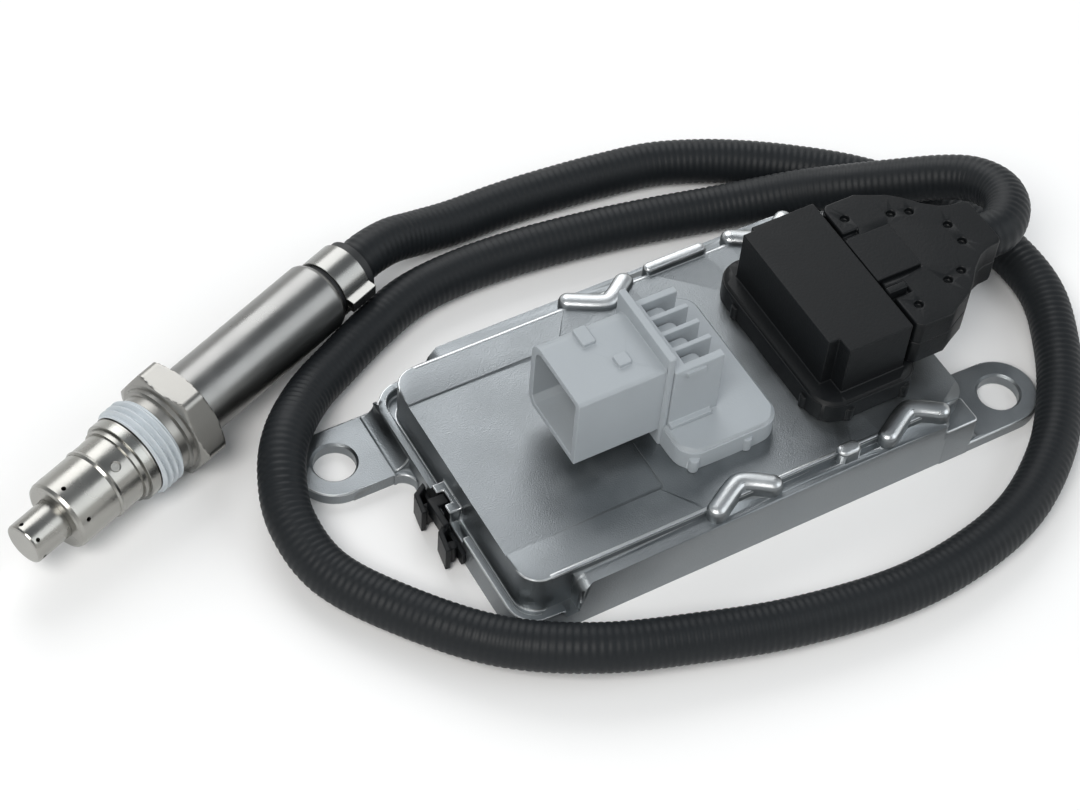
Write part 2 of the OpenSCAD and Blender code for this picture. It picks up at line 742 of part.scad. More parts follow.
module plug_body() {
    color([0.13, 0.14, 0.15]) difference() {
        union() {
            span([cave_x + 0.6, -cave_y + nose_gap, plug_z - cave_half_z + nose_gap],
                [nose_end, cave_y - nose_gap, plug_z + cave_half_z - nose_gap]);
            intersection() {
                plug_shell();
                span([0, -30, plug_z - 20], [100, 30, plug_z]);
            }
        }
        nose_cuts();
    }
}

// Small holes on the cover, from the shell's front edge
cover_holes = [[2.8, 12.6], [12.3, 9.5], [16.2, 8.3], [21.4, 1.6], [21.5, -3.5], [16.6, -10.1],
    [12.7, -11], [3.4, -13.8]];

module plug_cover() {
    color([0.13, 0.14, 0.15]) {
        difference() {
            intersection() {
                plug_shell();
                span([0, -30, plug_z], [plug_end + 20, 30, plug_z + 20]);
            }
            nose_room();
            for (h = cover_holes)
                translate([plug_x + h[0], h[1], plug_top - slot_depth]) cylinder(r = 0.95, h = 3);
            span([plug_x - 1, -10.3, plug_top - slot_depth], [plug_x + 4.1, -7.2, plug_top + 1]);
            span([plug_x - 1, 7.6, plug_top - slot_depth], [plug_x + 3.6, 9, plug_top + 1]);
            span([plug_x - 1, latch_ys[0] - fit, plug_top - 0.6],
                [plug_x + 9.8 + fit, latch_ys[1] + fit, plug_top + 3]);
        }
        span([mouth_x + 0.2, -9.6, plug_top - slot_depth - 0.2], [plug_x + 3.6, -7.9, plug_top + 1.2]);
    }
}

module nose_room() {
    span([plug_x - 1, -cave_y + nose_gap - fit, plug_z - 1],
        [nose_end + fit, cave_y - nose_gap + fit, plug_z + cave_half_z - nose_gap + fit]);
}

// Plate let into the cover, which closes the gap to the header
module plug_latch() {
    color([0.17, 0.18, 0.19])
        span([mouth_x + 0.2, latch_ys[0], plug_top - 0.6], [plug_x + 9.8, latch_ys[1], header_top]);
}

module plug_seal() {
    g = nose_gap;
    color("orangered") difference() {
        span([cave_x + 2 + fit, -cave_y + 0.02, plug_z - cave_half_z + 0.02],
            [cave_x + 4 - fit, cave_y - 0.02, plug_z + cave_half_z - 0.02]);
        span([cave_x, -cave_y + 1 - fit, plug_z - cave_half_z + 1 - fit],
            [cave_x + 6, cave_y - 1 + fit, plug_z + cave_half_z - 1 + fit]);
    }
}

module plug_terminals() {
    w = header_pin / 2 + fit;
    color("goldenrod")
        for (row = plug_rows)
            for (y = plug_ys)
                translate([cave_x, y, plug_z + row]) difference() {
                    translate([1, 0, 0]) terminal_block(-fit, 10);
                    span([-1, -w, -w], [7, w, w]);
                }
}

// Wires inside the plug, from the terminals to the neck
module plug_wires() {
    bend_x = nose_end + 1.4;
    neck_x = plug_end - 8;
    color("white")
        for (i = [0, 1])
            for (j = [0:3]) {
                a = [cave_x + 11.1, plug_ys[j], plug_z + plug_rows[i]];
                b = [bend_x, plug_ys[j], plug_z + plug_rows[i]];
                c = [neck_x, plug_y + plug_ys[j] * 0.175, plug_z + plug_rows[i] * 0.7];
                d = [plug_end, c[1], c[2]];
                wire(a, b);
                wire(b, c);
                wire(c, d);
                translate(b) sphere(r = 0.78, $fn = 16);
                translate(c) sphere(r = 0.78, $fn = 16);
            }
}

module wire(a, b) {
    d = b - a;
    l = norm(d);
    translate(a) rotate([0, acos(d[2] / l), atan2(d[1], d[0])]) cylinder(r = 0.65, h = l, $fn = 16);
}

// Point on the cable's route, by a smooth curve through the route's points
function route_at(u) =
    let (n = len(route) - 1, i = min(floor(u), n - 1), t = u - i,
        a = route[max(i - 1, 0)], b = route[i], c = route[i + 1], d = route[min(i + 2, n)])
    0.5 * (2 * b + (c - a) * t + (2 * a - 5 * b + 4 * c - d) * t * t + (3 * b - a - 3 * c + d) * t * t * t);

function unit(v) = v / norm(v);
function route_way(u) =
    let (n = len(route) - 1, h = 0.05)
    unit(route_at(min(u + h, n)) - route_at(max(u - h, 0)));

module cable() {
    n = len(route) - 1;
    count = round(n * rings_per_leg);
    r = cable_d / 2;
    points = [for (k = [0:count], s = [0:cable_sides - 1])
        let (u = n * k / count, w = route_way(u), side = unit(cross(w, [0, 0, 1])),
            top = cross(side, w), a = 360 * (s + 0.5) / cable_sides)
        route_at(u) + r * (cos(a) * side + sin(a) * top)];
    walls = [for (k = [0:count - 1], s = [0:cable_sides - 1])
        let (s2 = (s + 1) % cable_sides, p = k * cable_sides, q = p + cable_sides)
        [p + s, p + s2, q + s2, q + s]];
    first = [for (s = [cable_sides - 1:-1:0]) s];
    last = [for (s = [0:cable_sides - 1]) count * cable_sides + s];
    color([0.12, 0.13, 0.14]) polyhedron(points, concat([first], walls, [last]));
}

module cable_grommet() {
    inner_r = sleeve_r - sleeve_wall - fit;
    throat_r = grommet_r - sleeve_wall - fit;
    color("darkslategray") at_probe() difference() {
        turned([[grommet_front, 0], [grommet_front, inner_r], [sleeve_l - 1.6, inner_r],
            [sleeve_l - 1.6, throat_r], [sleeve_l, throat_r], [sleeve_l, grommet_r],
            [grommet_end, grommet_r], [grommet_end, 0]]);
        for (i = [0:lead_n - 1])
            rotate([i * 360 / lead_n, 0, 0]) translate([0, 0, lead_ring])
                rotate([0, 90, 0]) cylinder(r = lead_r + fit, h = grommet_end + 1);
    }
}

module clamp_band() {
    ear_h = 2.2;
    color("silver") at_probe() {
        tube_piece(band_s, band_s + band_l, grommet_r + band_t, grommet_r);
        translate([band_s, 0, 0]) difference() {
            span([0, -grommet_r - ear_h, -0.4], [band_l, -grommet_r + 0.9, 2.4]);
            span([-1, -grommet_r - ear_h + band_t, 0.2], [band_l + 1, -grommet_r - 0.5, 1.8]);
            rotate([0, 90, 0]) cylinder(r = grommet_r + 0.2, h = 3 * band_l, center = true);
        }
    }
}

module lead_wires() {
    color("white") at_probe()
        for (i = [0:lead_n - 1])
            rotate([i * 360 / lead_n, 0, 0]) translate([holder[1], 0, lead_ring])
                rotate([0, 90, 0]) cylinder(r = lead_r, h = grommet_end - holder[1]);
}

module contact_holder() {
    color("ivory") at_probe() difference() {
        tube_piece(holder[0], holder[1], sleeve_r - sleeve_wall - fit, 0.01);
        span([holder[0] - 1, -blade[0] / 2 - 0.2, -blade[1] / 2 - 1],
            [holder[1] - 3, blade[0] / 2 + 0.2, blade[1] / 2 + 1]);
        for (i = [0:lead_n - 1])
            rotate([i * 360 / lead_n, 0, 0]) translate([holder[1] - 3.2, 0, lead_ring])
                rotate([0, 90, 0]) cylinder(r = 1, h = 5);
    }
}

module contact_springs() {
    color("gold") at_probe()
        for (y = [-1.3, 0, 1.3])
            for (side = [-1, 1])
                translate([holder[0] - 6, y, side * (blade[1] / 2 + 0.4)])
                    translate([0, -0.4, -0.25]) cube([14, 0.8, 0.5]);
}

module probe_sleeve() {
    r = sleeve_r;
    i = sleeve_r - sleeve_wall;
    color([0.62, 0.61, 0.6]) at_probe() turned([
        [sleeve_start, i], [sleeve_start, r], [sleeve_l - 1.6, r], [sleeve_l - 0.7, r - 0.35],
        [sleeve_l - 0.15, r - 0.9], [sleeve_l, grommet_r], [sleeve_l, grommet_r - sleeve_wall],
        [sleeve_l - sleeve_wall * 2, grommet_r - sleeve_wall], [sleeve_l - sleeve_wall * 2, i]
    ]);
}

module hex_nut() {
    bore = sleeve_r + nut_gap;
    root_r = thread_r - 0.9;
    pitch = 1.5;
    ridges = floor(thread_l / pitch);
    thread_start = thread_back - ridges * pitch;
    crest = [for (i = [0:ridges - 1], p = [[0, root_r], [0.5, thread_r], [0.9, thread_r]])
        [thread_start + i * pitch + p[0], p[1]]];
    color([0.72, 0.71, 0.68]) at_probe() difference() {
        union() {
            turned(concat([[nut_front, bore], [nut_front, root_r]], crest,
                [[thread_back, root_r], [thread_back, root_r - 0.2], [-washer_l - 0.3, root_r - 0.2],
                [-washer_l, root_r + 0.4], [0.1, root_r + 1.3], [0.1, bore]]));
            intersection() {
                rotate([0, 90, 0]) rotate([0, 0, 30]) cylinder(r = hex_af / sqrt(3), h = hex_l, $fn = 6);
                turned([[0, 0], [0, hex_af / 2], [hex_af * 0.035, hex_af / sqrt(3) + 0.1],
                    [hex_l - hex_af * 0.035, hex_af / sqrt(3) + 0.1], [hex_l, hex_af / 2], [hex_l, 0]]);
            }
        }
        rotate([0, 90, 0]) translate([0, 0, nut_front - 1]) cylinder(r = bore, h = hex_l - nut_front + 2);
    }
}

module probe_body() {
    i = body_bore;
    color([0.6, 0.6, 0.58]) at_probe() difference() {
        turned([
            [spigot_front, i + 1.4], [spigot_front, spigot_r - 0.15], [spigot_front + 0.5, spigot_r + 0.1],
            [spigot_front + 1.1, spigot_r - 0.1], [collar_front, spigot_r], [collar_front, spigot_r + 0.5],
            [ring_front, spigot_r + 0.5], [ring_front, spigot_r + 0.1], [collar_back - 0.6, spigot_r + 0.1],
            [collar_back - 0.6, collar_r], [collar_back, collar_r], [collar_back, sleeve_r],
            [sleeve_start, sleeve_r], [sleeve_start, sleeve_r - sleeve_wall - fit],
            [6, sleeve_r - sleeve_wall - fit], [6, i], [spigot_front + 6, i], [spigot_front + 6, shield_r - shield_wall - 0.6],
            [spigot_front, shield_r - shield_wall - 0.6]
        ]);
        for (k = [0:3])
            rotate([k * 90 + 30, 0, 0]) translate([spigot_front + 3.1, 0, spigot_r - 0.35])
                cylinder(r1 = 0.9, r2 = 1.9, h = 1);
    }
}

module seal_ring() {
    color("silver") at_probe() tube_piece(ring_front + 0.05, collar_back - 0.6, collar_r + 0.1, spigot_r + 0.1 + fit);
}

module outer_shield() {
    w = shield_wall;
    r = shield_r;
    color([0.66, 0.65, 0.62]) at_probe() difference() {
        turned([
            [shield_front, tip_r + fit], [shield_front, r - 0.9], [shield_front + 0.25, r - 0.3],
            [shield_front + 0.9, r], [spigot_front, r], [spigot_front, r - w - 0.6 - fit],
            [spigot_front + 5.5, r - w - 0.6 - fit], [spigot_front + 5.5, r - 2 * w - 0.6],
            [spigot_front - 0.7, r - 2 * w - 0.6], [spigot_front - 0.7, r - w], [shield_front + w + 0.4, r - w],
            [shield_front + w, r - w - 0.4], [shield_front + w, tip_r + fit]
        ]);
        for (k = [0:5])
            rotate([k * 60 + 5, 0, 0]) translate([shield_front + 2.6, 0, r - 2]) cylinder(r = 0.5, h = 3);
    }
}

module tip_tube() {
    w = 0.6;
    color([0.66, 0.65, 0.62]) at_probe() difference() {
        turned([
            [tip_front, 0], [tip_front, tip_r - 0.5], [tip_front + 0.15, tip_r - 0.15], [tip_front + 0.5, tip_r],
            [shield_front + shield_wall, tip_r], [shield_front + shield_wall, tip_r + 1.6],
            [shield_front + shield_wall + w, tip_r + 1.6], [shield_front + shield_wall + w, tip_r - w],
            [tip_front + w, tip_r - w], [tip_front + w, 0]
        ]);
        for (k = [0:5])
            rotate([k * 60 - 16, 0, 0]) translate([tip_front + 1.4, 0, tip_r - 2]) cylinder(r = 0.45, h = 3);
    }
}

module inner_shield() {
    r = 3.6;
    color("silver") at_probe() turned([
        [blade_front - 1, 0], [blade_front - 1, r], [packing[0] - 0.6, r], [packing[0] - 0.6, r + 1.6],
        [packing[0], r + 1.6], [packing[0], r - 0.5], [blade_front - 0.5, r - 0.5], [blade_front - 0.5, 0]
    ]);
}

module sensing_element() {
    color("white") at_probe()
        span([blade_front, -blade[0] / 2, -blade[1] / 2], [blade_back, blade[0] / 2, blade[1] / 2]);
}

// Ceramic or powder ring between two stations, with a slot for the sensing element
module packing_ring(s0, s1, r) {
    at_probe() difference() {
        turned([[s0, 0], [s0, r], [s1, r], [s1, 0]]);
        span([s0 - 1, -blade[0] / 2 - fit, -blade[1] / 2 - fit], [s1 + 1, blade[0] / 2 + fit, blade[1] / 2 + fit]);
    }
}

module front_insulator() {
    color("ivory") packing_ring(packing[0], packing[1], body_bore - fit);
}

module talc_ring() {
    color("wheat") packing_ring(packing[1], packing[2], body_bore - fit);
}

module rear_insulator() {
    color("ivory") packing_ring(packing[2], packing[3], body_bore - fit);
}

housing();
base_plate();
base_seal();
base_screws();
circuit_board();
board_chips();
capacitors();
thermal_pads();
board_screws();
side_clip();
vehicle_connector();
vehicle_pins();
vehicle_connector_seal();
sensor_header();
header_pins();
header_seal();
plug_body();
plug_cover();
plug_latch();
plug_seal();
plug_terminals();
plug_wires();
cable();
cable_grommet();
clamp_band();
lead_wires();
contact_holder();
contact_springs();
probe_sleeve();
hex_nut();
probe_body();
seal_ring();
outer_shield();
tip_tube();
inner_shield();
sensing_element();
front_insulator();
talc_ring();
rear_insulator();
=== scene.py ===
"""Looks of the nitrogen oxide sensor: control unit, two connectors, ribbed cable and probe."""

import json
import math

import bmesh
import bpy
from mathutils import Matrix, Vector


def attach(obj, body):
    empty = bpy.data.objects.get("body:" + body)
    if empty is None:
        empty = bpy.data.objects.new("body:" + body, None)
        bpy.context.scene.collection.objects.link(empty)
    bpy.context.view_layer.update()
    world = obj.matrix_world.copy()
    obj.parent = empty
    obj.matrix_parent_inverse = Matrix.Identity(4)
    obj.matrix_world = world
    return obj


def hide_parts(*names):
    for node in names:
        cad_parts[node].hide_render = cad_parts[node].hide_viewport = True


MM = 0.001
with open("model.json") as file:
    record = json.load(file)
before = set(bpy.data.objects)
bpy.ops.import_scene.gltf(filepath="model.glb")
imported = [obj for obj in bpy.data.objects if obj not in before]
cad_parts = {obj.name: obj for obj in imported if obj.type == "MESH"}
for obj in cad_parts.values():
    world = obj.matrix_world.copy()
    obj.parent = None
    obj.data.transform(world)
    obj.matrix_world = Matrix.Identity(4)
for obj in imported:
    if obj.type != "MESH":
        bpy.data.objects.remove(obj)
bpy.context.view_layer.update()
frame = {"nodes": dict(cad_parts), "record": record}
nodes = frame["nodes"]
slots = {s["node"]: s["material_slot"] for s in frame["record"]["subparts"]}
body_of = {n: b for b, names in frame["record"]["behaviour"]["bodies"].items() for n in names}

# Probe's place, and its stations in millimetres from the hexagon's front face
PROBE = Vector((-96.6, 41.5, 11.0)) * MM
TURN = math.radians(22)
AF = 22.0
HEX_L = 6.4
THREAD_R = 10.0
NUT_FRONT = -9.2
THREAD_BACK = -3.4
BORE = 8.3
CABLE_R = 5.0

# Raised ridges on the panel's edges: middle of each along the unit, and its side
BODY_SHIFT = 1.0
PANEL_Y = 29.3
BEADS = [(-2, -1), (39, -1), (-1.8, 1), (38.5, 1)]

# Route of the cable in millimetres, from the probe's grommet to the plug's neck
ROUTE = [
    (-43.1, 63.12, 11), (-38.4, 65.02, 11), (-32, 67.2, 9.6), (-25, 68.6, 7.2), (-16, 69.2, 5.5),
    (-3, 69.4, 5.1), (9, 68.6, 5.1), (21, 67.3, 5.1), (33, 65.3, 5.1), (43.5, 61.3, 5.1),
    (52, 56.8, 5.1), (61.5, 50.5, 5.1), (72, 42, 5.1), (81, 31.7, 5.1), (87.5, 19.7, 5.1),
    (91, 7.4, 5.1), (90.6, -6, 5.1), (85, -19, 5.1), (77, -31.2, 5.1), (66.2, -42.6, 5.1),
    (52, -51.6, 5.1), (36, -56, 5.1), (18, -57, 5.1), (-4, -54, 5.6), (-24, -48.8, 6.6),
    (-43, -42.2, 7.4), (-59, -31.6, 6.6), (-72, -16.2, 5.6), (-80.6, -2, 5.6), (-82.4, 11, 7.2),
    (-79.6, 21.4, 8.7), (-74.4, 30, 8.8), (-65.5, 39, 6.2), (-55.3, 45.2, 5.1), (-44.2, 50.6, 5.1),
    (-33.5, 54.6, 5.1), (-21, 56, 5.1), (-6, 55.4, 5.1), (12, 53, 5.1), (26, 50.3, 5.1),
    (38, 47.4, 5.3), (48, 44.2, 6.6), (57, 40.2, 8.9), (65.5, 34.4, 12.3), (73, 28.4, 16),
    (79.9, 22.7, 19.4), (84.4, 17.6, 21.8), (86, 11.7, 23.8), (85, 6.6, 25.1), (82.1, 2.5, 26),
    (77.7, -0.5, 26.55), (72.75, -0.8, 26.6),
]


def camera():
    data = bpy.data.cameras.new("camera")
    data.lens = 82.055
    data.sensor_width = 36
    data.clip_start = 0.01
    cam = bpy.data.objects.new("camera", data)
    bpy.context.collection.objects.link(cam)
    az, el, roll = math.radians(-33.209), math.radians(51.825), math.radians(5.129)
    back = Vector((math.sin(az) * math.cos(el), -math.cos(az) * math.cos(el), math.sin(el)))
    right = Vector((0, 0, 1)).cross(back).normalized()
    up = back.cross(right)
    x = right * math.cos(roll) + up * math.sin(roll)
    y = up * math.cos(roll) - right * math.sin(roll)
    turn = Matrix((x, y, back)).transposed().to_4x4()
    cam.matrix_world = Matrix.Translation((-0.1965, -0.2489, 0.408)) @ turn
    bpy.context.scene.camera = cam


def piece(name, bm, material, node=None, smooth=35):
    """A new object from bm: it stands for a CAD node, or rides on that node's body."""
    mesh = bpy.data.meshes.new(name)
    bm.normal_update()
    bm.to_mesh(mesh)
    bm.free()
    mesh.shade_smooth()
    mesh.set_sharp_from_angle(angle=math.radians(smooth))
    mesh.materials.append(material)
    obj = bpy.data.objects.new(name, mesh)
    bpy.context.collection.objects.link(obj)
    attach(obj, body_of[node])
    return obj


def crowded(edge, reach):
    """Whether a short edge runs off at this one's end, where its bevel would fold over itself."""
    for v in edge.verts:
        way = (edge.other_vert(v).co - v.co).normalized()
        for other in v.link_edges:
            step = other.other_vert(v).co - v.co
            if other is not edge and step.length < reach and abs(way.dot(step.normalized())) < 0.85:
                return True
    return False


def stays_sharp(edge):
    """Whether this edge of the casting lies under a ridge or block, or borders the shallow recess."""
    for v in edge.verts:
        x, y, z = v.co / MM
        y = abs(y - BODY_SHIFT)
        under_bead = z > 12 and abs(y - 28.4) < 3.4 and any(abs(x - bead[0]) < 9.2 for bead in BEADS)
        under_lug = z > 12 and abs(y - 29.8) < 2 and 9 < x < 26.5
        ledge_end = z > 4.5 and y > 28 and -44.2 < x < -37.5
        recess = z > 14.3 and y < 25 and x < -14
        block = x > 44 and y > 22 and z > 3.3 and v.co.y < 0
        if under_bead or under_lug or ledge_end or recess or block:
            return True
    return False


def softened(node, width, material, segments=3, angle=28):
    """The CAD node's own shape with its sharp edges rounded."""
    src = nodes[node]
    bm = bmesh.new()
    bm.from_mesh(src.data)
    bm.transform(src.matrix_world)
    bmesh.ops.remove_doubles(bm, verts=bm.verts, dist=3e-6)
    bmesh.ops.dissolve_limit(bm, angle_limit=math.radians(0.6), verts=bm.verts, edges=bm.edges)
    sharp = [e for e in bm.edges
             if len(e.link_faces) == 2 and e.calc_face_angle(0) > math.radians(angle)
             and not crowded(e, 2.2 * width * MM) and not (node == "housing" and stays_sharp(e))]
    rounds = bmesh.ops.bevel(bm, geom=sharp, offset=width * MM, offset_type="OFFSET", segments=segments,
                             profile=0.5, affect="EDGES", clamp_overlap=False, material=-1)["faces"]
    # Painted highlight: the housing's rounded edges take the second, lighter material, standing in for the light they
    # catch
    if node == "housing":
        for f in rounds:
            f.material_index = 1
    bmesh.ops.triangulate(bm, faces=[f for f in bm.faces if len(f.verts) > 4])
    obj = piece(node + "_look", bm, material, node, smooth=24)
    if node == "housing":
        obj.data.materials.append(look["painted_edge_highlight"])
    normals = obj.modifiers.new("flat_faces", "WEIGHTED_NORMAL")
    normals.keep_sharp = True
    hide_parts(node)
    return obj


def ridge(bm, path, levels):
    """Rounded ridge along a bent line, from (half width, height) levels, in millimetres."""
    line = []
    for i in range(len(path) - 1):
        a, b, c, d = (Vector(path[min(max(i + k, 0), len(path) - 1)]) for k in (-1, 0, 1, 2))
        for k in range(8):
            u = k / 8
            line.append(0.5 * (2 * b + (c - a) * u + (2 * a - 5 * b + 4 * c - d) * u * u
                               + (3 * b - a - 3 * c + d) * u * u * u))
    line.append(Vector(path[-1]))
    ways = [(line[min(i + 1, len(line) - 1)] - line[max(i - 1, 0)]).normalized() for i in range(len(line))]
    outline = [(p, Vector((-w.y, w.x))) for p, w in zip(line, ways)]
    for k in range(1, 12):
        a = math.pi / 2 - math.pi * k / 12
        outline.append((line[-1], ways[-1] * math.cos(a) + Vector((-ways[-1].y, ways[-1].x)) * math.sin(a)))
    outline += [(p, Vector((w.y, -w.x))) for p, w in reversed(list(zip(line, ways)))]
    for k in range(1, 12):
        a = -math.pi / 2 - math.pi * k / 12
        outline.append((line[0], ways[0] * math.cos(a) + Vector((-ways[0].y, ways[0].x)) * math.sin(a)))
    loops = [[bm.verts.new((*((p + n * r) * MM), z * MM)) for p, n in outline] for r, z in levels]
    for low, high in zip(loops, loops[1:]):
        for k in range(len(low)):
            j = (k + 1) % len(low)
            bm.faces.new((low[k], low[j], high[j], high[k]))
    bm.faces.new(loops[0])


def corner_block():
    """Square block of the casting at the front right corner, where the ear begins."""
    bm = bmesh.new()
    bmesh.ops.create_cube(bm, size=1, matrix=Matrix.Translation((49.85 * MM, -28.45 * MM, 5.5 * MM))
                          @ Matrix.Diagonal((8.4 * MM, 6.85 * MM, 10.8 * MM, 1)))
    uprights = [e for e in bm.edges if abs(e.verts[0].co.z - e.verts[1].co.z) > 5 * MM]
    bmesh.ops.bevel(bm, geom=uprights, offset=0.9 * MM, offset_type="OFFSET", segments=4, profile=0.5,
                    affect="EDGES", material=-1)
    top = [e for e in bm.edges if min(v.co.z for v in e.verts) > 10 * MM]
    rounds = bmesh.ops.bevel(bm, geom=top, offset=0.4 * MM, offset_type="OFFSET", segments=3, profile=0.5,
                             affect="EDGES", material=-1)["faces"]
    # Painted highlight: the rounded top edges take the second, lighter material, standing in for the light they catch
    for f in rounds:
        f.material_index = 1
    bmesh.ops.recalc_face_normals(bm, faces=bm.faces)
    obj = piece("corner_block_look", bm, look["cast_alloy"], "housing", smooth=30)
    obj.data.materials.append(look["painted_edge_highlight"])


def beads():
    """Cast ridges on the panel's edges, with smooth round tops over the plain ones."""
    bm = bmesh.new()
    for x, side in BEADS:
        y = BODY_SHIFT + side * (PANEL_Y - 0.9)
        path = [(x + a, y + side * b) for a, b in ((-6.7, 1.7), (-0.5, -1.7), (2.2, -1.6), (6.6, 1.3))]
        ridge(bm, path, [(2.2, 12.6), (2.15, 14.9), (2.02, 15.35), (1.72, 15.8), (1.28, 16.12), (0.7, 16.32), (0, 16.38)])
    for x0, x1, y, w in ((10, 25.2, BODY_SHIFT + PANEL_Y + 0.8, 1.35), (20.2, 25.4, BODY_SHIFT - PANEL_Y - 0.3, 1.6)):
        ridge(bm, [(x0 + w, y), (x1 - w, y)],
              [(w + 0.1, 12.6), (w + 0.08, 15.3), (w - 0.05, 15.8), (w - 0.3, 16.2), (w - 0.7, 16.32), (0, 16.36)])
    for side in (-1, 1):
        y = BODY_SHIFT + side * (PANEL_Y - 0.55)
        ridge(bm, [(-45.5, y), (47.5, y)],
              [(0.62, 12.9), (0.62, 14.4), (0.54, 14.64), (0.36, 14.8), (0.14, 14.85), (0, 14.86)])
    bmesh.ops.remove_doubles(bm, verts=bm.verts, dist=2e-6)
    bmesh.ops.triangulate(bm, faces=[f for f in bm.faces if len(f.verts) > 4])
    bmesh.ops.recalc_face_normals(bm, faces=bm.faces)
    # Painted highlight: the round tops of the ridges and the upper faces of the thin lip along the panel's edges take
    # the second, lighter material
    for f in bm.faces:
        middle = f.calc_center_median()
        if middle.z > 15.95 * MM or 14.2 * MM < middle.z < 14.87 * MM and f.normal.z > 0.1:
            f.material_index = 1
    obj = piece("beads_look", bm, look["cast_alloy"], "housing", smooth=60)
    obj.data.materials.append(look["painted_edge_highlight"])


def probe_matrix():
    return Matrix.Translation(PROBE) @ Matrix.Rotation(TURN, 4, "Z") @ Matrix.Rotation(math.pi / 2, 4, "Y")


def turned(bm, stations, radius, sides, inner=None):
    """Skin round the probe's axis: radius(station, angle) in millimetres, closed to the inner radius."""
    rings = []
    for s in stations:
        ring = []
        for k in range(sides):
            a = 2 * math.pi * k / sides
            r = radius(s, a)
            ring.append(bm.verts.new((r * math.cos(a) * MM, r * math.sin(a) * MM, s * MM)))
        rings.append(ring)
    if inner is not None:
        for s in (stations[-1], stations[0]):
            rings.append([bm.verts.new((inner * math.cos(2 * math.pi * k / sides) * MM,
                                        inner * math.sin(2 * math.pi * k / sides) * MM, s * MM))
                          for k in range(sides)])
        rings.append(rings[0])
    for low, high in zip(rings, rings[1:]):
        for k in range(sides):
            j = (k + 1) % sides
            bm.faces.new((low[k], low[j], high[j], high[k]))
    if inner is None:
        bm.faces.new(list(reversed(rings[0])))
        bm.faces.new(rings[-1])
    bmesh.ops.recalc_face_normals(bm, faces=bm.faces)


def ramp(points, s):
    """Value at s on a line through (station, value) points."""
    if s <= points[0][0]:
        return points[0][1]
    for (a, va), (b, vb) in zip(points, points[1:]):
        if s <= b:
            return va + (vb - va) * (s - a) / (b - a)
    return points[-1][1]


def hex_nut(material):
    """Threaded nut with a real helix, a relief, a turned collar and a chamfered hexagon."""
    pitch = 1.5

    def thread(s, a):
        phase = (s / pitch - a / (2 * math.pi)) % 1.0
        depth = 0.85 * min(1.0, max(0.0, (abs(phase - 0.5) * 2 - 0.14) / 0.72))
        fade = min(1.0, (s - NUT_FRONT) / 0.9 + 0.15, (THREAD_BACK - s) / 0.8 + 0.1)
        return THREAD_R - 0.85 + (0.85 - depth) * max(0.0, fade)

    def hexagon(s, a):
        flat = AF / 2 / math.cos((a + math.pi / 6) % (math.pi / 3) - math.pi / 6)
        edge = min(s, HEX_L - s)
        cone = AF / 2 - 0.35 + edge * 2.2
        corner = AF / math.sqrt(3) - 0.28
        return min(flat, cone, corner)

    relief = [(THREAD_BACK, THREAD_R - 0.95), (-3.2, 8.95), (-1.3, 8.95), (-1.05, 9.3), (-1, 9.75), (-0.1, 9.9), (0, 10.3)]

    def radius(s, a):
        if s <= THREAD_BACK:
            return thread(s, a)
        if s < 0:
            return ramp(relief, s)
        return hexagon(s, a)

    count = 58
    stations = [NUT_FRONT + (THREAD_BACK - NUT_FRONT) * i / count for i in range(count + 1)]
    stations += [-3.2, -1.3, -1.1, -1.0, -0.1, -0.001]
    stations += [0.0, 0.06, 0.2, 0.4, 0.65, 0.9, 1.2, 2, HEX_L / 2, HEX_L - 2, HEX_L - 1.2, HEX_L - 0.9]
    stations += [HEX_L - 0.65, HEX_L - 0.4, HEX_L - 0.2, HEX_L - 0.06, HEX_L]
    bm = bmesh.new()
    turned(bm, stations, radius, 144, inner=BORE)
    for f in bm.faces:
        middle = f.calc_center_median()
        if middle.z < THREAD_BACK * MM and middle.xy.length > (BORE + 0.5) * MM:
            f.material_index = 1
    bm.transform(probe_matrix())
    obj = piece("hex_nut_look", bm, material, "hex_nut")
    obj.data.materials.append(look["thread_paste"])
    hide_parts("hex_nut")


def route_at(u):
    n = len(ROUTE) - 1
    i = min(int(u), n - 1)
    t = u - i
    a, b, c, d = (Vector(ROUTE[min(max(i + k, 0), n)]) for k in (-1, 0, 1, 2))
    return 0.5 * (2 * b + (c - a) * t + (2 * a - 5 * b + 4 * c - d) * t * t
                  + (3 * b - a - 3 * c + d) * t * t * t) * MM


def even_route(step):
    """Points at equal distances along the cable's middle line, and its length."""
    n = len(ROUTE) - 1
    fine = [route_at(n * k / 4000) for k in range(4001)]
    run = [0.0]
    for a, b in zip(fine, fine[1:]):
        run.append(run[-1] + (b - a).length)
    count = round(run[-1] / step)
    out = []
    k = 0
    for i in range(count + 1):
        want = run[-1] * i / count
        while k < 3999 and run[k + 1] < want:
            k += 1
        share = (want - run[k]) / (run[k + 1] - run[k])
        out.append(fine[k].lerp(fine[k + 1], min(max(share, 0), 1)))
    return out, run[-1]


def cable(material):
    """Ribbed sleeve swept along the route, as one closed tube."""
    rib = 1.5 * MM
    sides = 24
    shape = [0.0, -0.03, -0.17, -0.03]
    points, length = even_route(rib / len(shape))
    bm = bmesh.new()
    rings = []
    side = Vector((0, 0, 1)).cross(points[1] - points[0]).normalized()
    for i, p in enumerate(points):
        way = (points[min(i + 1, len(points) - 1)] - points[max(i - 1, 0)]).normalized()
        side = (side - way * side.dot(way)).normalized()
        top = way.cross(side)
        r = (CABLE_R + shape[i % len(shape)]) * MM
        rings.append([bm.verts.new(p + r * (math.cos(2 * math.pi * k / sides) * side
                                            + math.sin(2 * math.pi * k / sides) * top))
                      for k in range(sides)])
    for low, high in zip(rings, rings[1:]):
        for k in range(sides):
            j = (k + 1) % sides
            bm.faces.new((low[k], low[j], high[j], high[k]))
    bm.faces.new(list(reversed(rings[0])))
    bm.faces.new(rings[-1])
    bmesh.ops.recalc_face_normals(bm, faces=bm.faces)
    obj = piece("cable_look", bm, material, "cable", smooth=60)
    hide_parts("cable")


